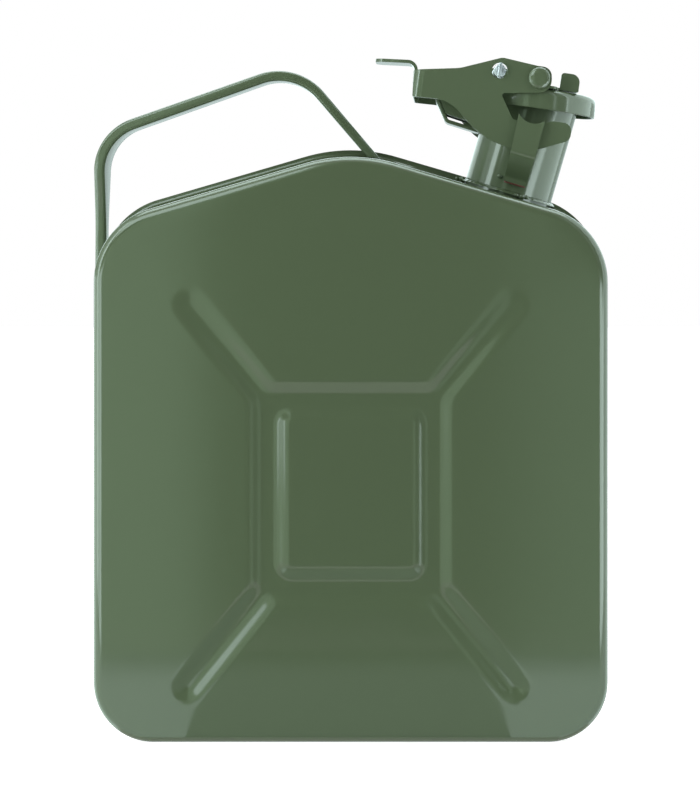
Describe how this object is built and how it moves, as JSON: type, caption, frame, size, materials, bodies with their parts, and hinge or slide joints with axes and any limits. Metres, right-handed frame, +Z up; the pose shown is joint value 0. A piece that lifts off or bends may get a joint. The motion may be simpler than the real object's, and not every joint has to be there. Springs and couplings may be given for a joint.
{
  "type": "metal jerry can",
  "caption": "Five-litre pressed-steel fuel can with stamped faces, strap handle, leaning neck, hinged lid, cam lever and safety pin.",
  "frame": {"origin": "on the ground, under the middle of the whole width and depth", "axes": "+Z up, the large front face toward -Y, the handle at -X, the neck at +X"},
  "size_m": [0.246, 0.105, 0.3173],
  "materials": {
    "olive_enamel": "semi-gloss olive enamel",
    "zinc_plate": "bright zinc plate",
    "bare_steel": "bare oiled steel",
    "gasket_rubber": "matt"
  },
  "bodies": {
    "can_body": {"front_shell": "olive_enamel", "rear_shell": "olive_enamel", "handle": "olive_enamel", "neck_tube": "olive_enamel", "neck_collar": "olive_enamel", "neck_lip": "bare_steel", "breather_tube": "bare_steel", "lug_front": "olive_enamel", "lug_rear": "olive_enamel", "hinge_bracket": "olive_enamel", "hinge_pin": "olive_enamel"},
    "lid_body": {"cap_shell": "olive_enamel", "cap_bridge": "olive_enamel", "cap_gasket": "gasket_rubber", "gasket_retainer": "bare_steel", "cap_rivet": "olive_enamel"},
    "lever_body": {"cam_lever": "olive_enamel", "lever_rivet_front": "olive_enamel", "lever_rivet_rear": "olive_enamel"},
    "pin_body": {"safety_pin": "zinc_plate"},
    "ring_body": {"pin_ring": "zinc_plate"}
  },
  "joints": [
    {"name": "cap_hinge", "type": "hinge", "parent": "can_body", "child": "lid_body", "pos_m": [0.05033, 0.00211, 0.30188], "axis": [-0.0502, -0.9986, 0.0147], "range_deg": [0, 70]},
    {"name": "lever_pivot", "type": "hinge", "parent": "lid_body", "child": "lever_body", "pos_m": [0.09145, 0.00011, 0.30602], "axis": [0.0502, 0.9986, -0.0147], "range_deg": [0, 95]},
    {"name": "pin_slide", "type": "slide", "parent": "lever_body", "child": "pin_body", "axis": [0.0502, 0.9986, -0.0147], "range_m": [0, 0.012]},
    {"name": "ring_swing", "type": "hinge", "parent": "pin_body", "child": "ring_body", "pos_m": [0.07485, 0.04024, 0.30896], "axis": [0.989, -0.0518, -0.1388], "range_deg": [-10, 80]}
  ]
}
